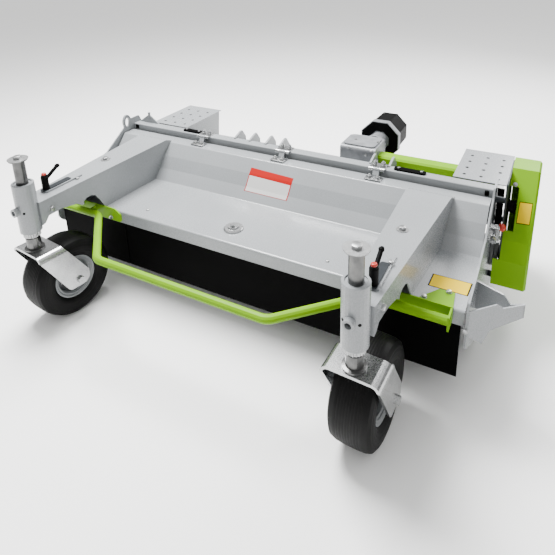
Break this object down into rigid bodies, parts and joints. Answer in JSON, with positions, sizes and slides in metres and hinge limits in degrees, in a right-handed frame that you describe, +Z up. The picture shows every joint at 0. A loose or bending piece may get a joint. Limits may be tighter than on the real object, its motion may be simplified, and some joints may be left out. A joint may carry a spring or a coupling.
{
  "type": "front-mounted hammer knife mower",
  "caption": "Front-mounted flail mower deck: hinged steel hood with swivelling caster wheels, guard tube, belt-driven hammer rotor, rear roller and step plates.",
  "frame": {"origin": "bottom centre of the whole machine's box, on the ground", "axes": "+X to the belt drive side, +Y to the rear (the carrier's side), +Z up"},
  "size_m": [1.8266, 1.252, 0.6625],
  "materials": {
    "grey_paint": "gloss",
    "green_paint": "gloss",
    "zinc_plate": "zinc plated",
    "bare_steel": "plain",
    "cast_metal": "light grey cast",
    "black_plastic": "matt",
    "black_rubber": "matt",
    "tyre_rubber": "matt",
    "rim_paint": "satin"
  },
  "bodies": {
    "deck": {"rear_shell": "grey_paint", "hitch_fin_1": "grey_paint", "hitch_fin_2": "grey_paint", "hitch_fin_3": "grey_paint", "hitch_fin_4": "grey_paint", "hitch_fin_5": "grey_paint", "hitch_fin_6": "grey_paint", "rear_hinge_1": "grey_paint", "rear_hinge_2": "grey_paint", "rear_hinge_3": "grey_paint", "pin_plate": "grey_paint", "side_plate_left": "grey_paint", "side_plate_right": "grey_paint", "step_left": "grey_paint", "step_right": "grey_paint", "gearbox": "cast_metal", "pto_guard": "black_plastic", "shaft_cover": "green_paint", "belt_plate": "grey_paint", "belt_cover": "green_paint", "belt_idler": "black_plastic", "tensioner": "zinc_plate", "guard_bracket": "grey_paint", "roller_bracket_left": "grey_paint", "roller_bracket_right": "grey_paint", "rubber_strap_left": "black_rubber", "rubber_strap_right": "black_rubber", "rear_flap": "black_rubber"},
    "hood": {"front_hood": "grey_paint", "arm_left": "grey_paint", "arm_right": "grey_paint", "caster_tube_left": "grey_paint", "caster_tube_right": "grey_paint", "clamp_lever_left": "black_plastic", "clamp_lever_right": "black_plastic", "hood_latch": "zinc_plate", "bumper": "green_paint", "flap_left": "black_rubber", "flap_centre": "black_rubber", "flap_right": "black_rubber"},
    "caster_left": {"stem_left": "bare_steel", "fork_left": "zinc_plate"},
    "wheel_left": {"rim_left": "rim_paint", "tyre_left": "tyre_rubber"},
    "caster_right": {"stem_right": "bare_steel", "fork_right": "zinc_plate"},
    "wheel_right": {"rim_right": "rim_paint", "tyre_right": "tyre_rubber"},
    "rotor": {"rotor": "bare_steel"},
    "roller": {"roller": "bare_steel"},
    "pto_shaft": {"pto_shaft": "bare_steel"}
  },
  "joints": [
    {"name": "hood_hinge", "type": "hinge", "parent": "deck", "child": "hood", "pos_m": [-0.04975, 0.169, 0.4955], "axis": [-1, 0, 0], "range_deg": [0, 75]},
    {"name": "caster_swivel_left", "type": "hinge", "parent": "hood", "child": "caster_left", "pos_m": [-0.64975, -0.574, 0.3095], "axis": [0, 0, 1], "continuous": true},
    {"name": "wheel_spin_left", "type": "hinge", "parent": "caster_left", "child": "wheel_left", "pos_m": [-0.63878, -0.4746, 0.149], "axis": [0.994, -0.1097, 0], "continuous": true},
    {"name": "caster_swivel_right", "type": "hinge", "parent": "hood", "child": "caster_right", "pos_m": [0.55025, -0.574, 0.3095], "axis": [0, 0, 1], "continuous": true},
    {"name": "wheel_spin_right", "type": "hinge", "parent": "caster_right", "child": "wheel_right", "pos_m": [0.55444, -0.47409, 0.149], "axis": [0.9991, -0.0419, 0], "continuous": true},
    {"name": "rotor_spin", "type": "hinge", "parent": "deck", "child": "rotor", "pos_m": [-0.04975, 0.241, 0.2245], "axis": [1, 0, 0], "continuous": true},
    {"name": "roller_spin", "type": "hinge", "parent": "deck", "child": "roller", "pos_m": [-0.04975, 0.491, 0.065], "axis": [1, 0, 0], "continuous": true},
    {"name": "pto_spin", "type": "hinge", "parent": "deck", "child": "pto_shaft", "pos_m": [0.26525, 0.576, 0.488], "axis": [0, 1, 0], "continuous": true}
  ],
  "couplings": [
    {"joint": "pto_spin", "follows": "rotor_spin", "ratio": 0.2}
  ]
}
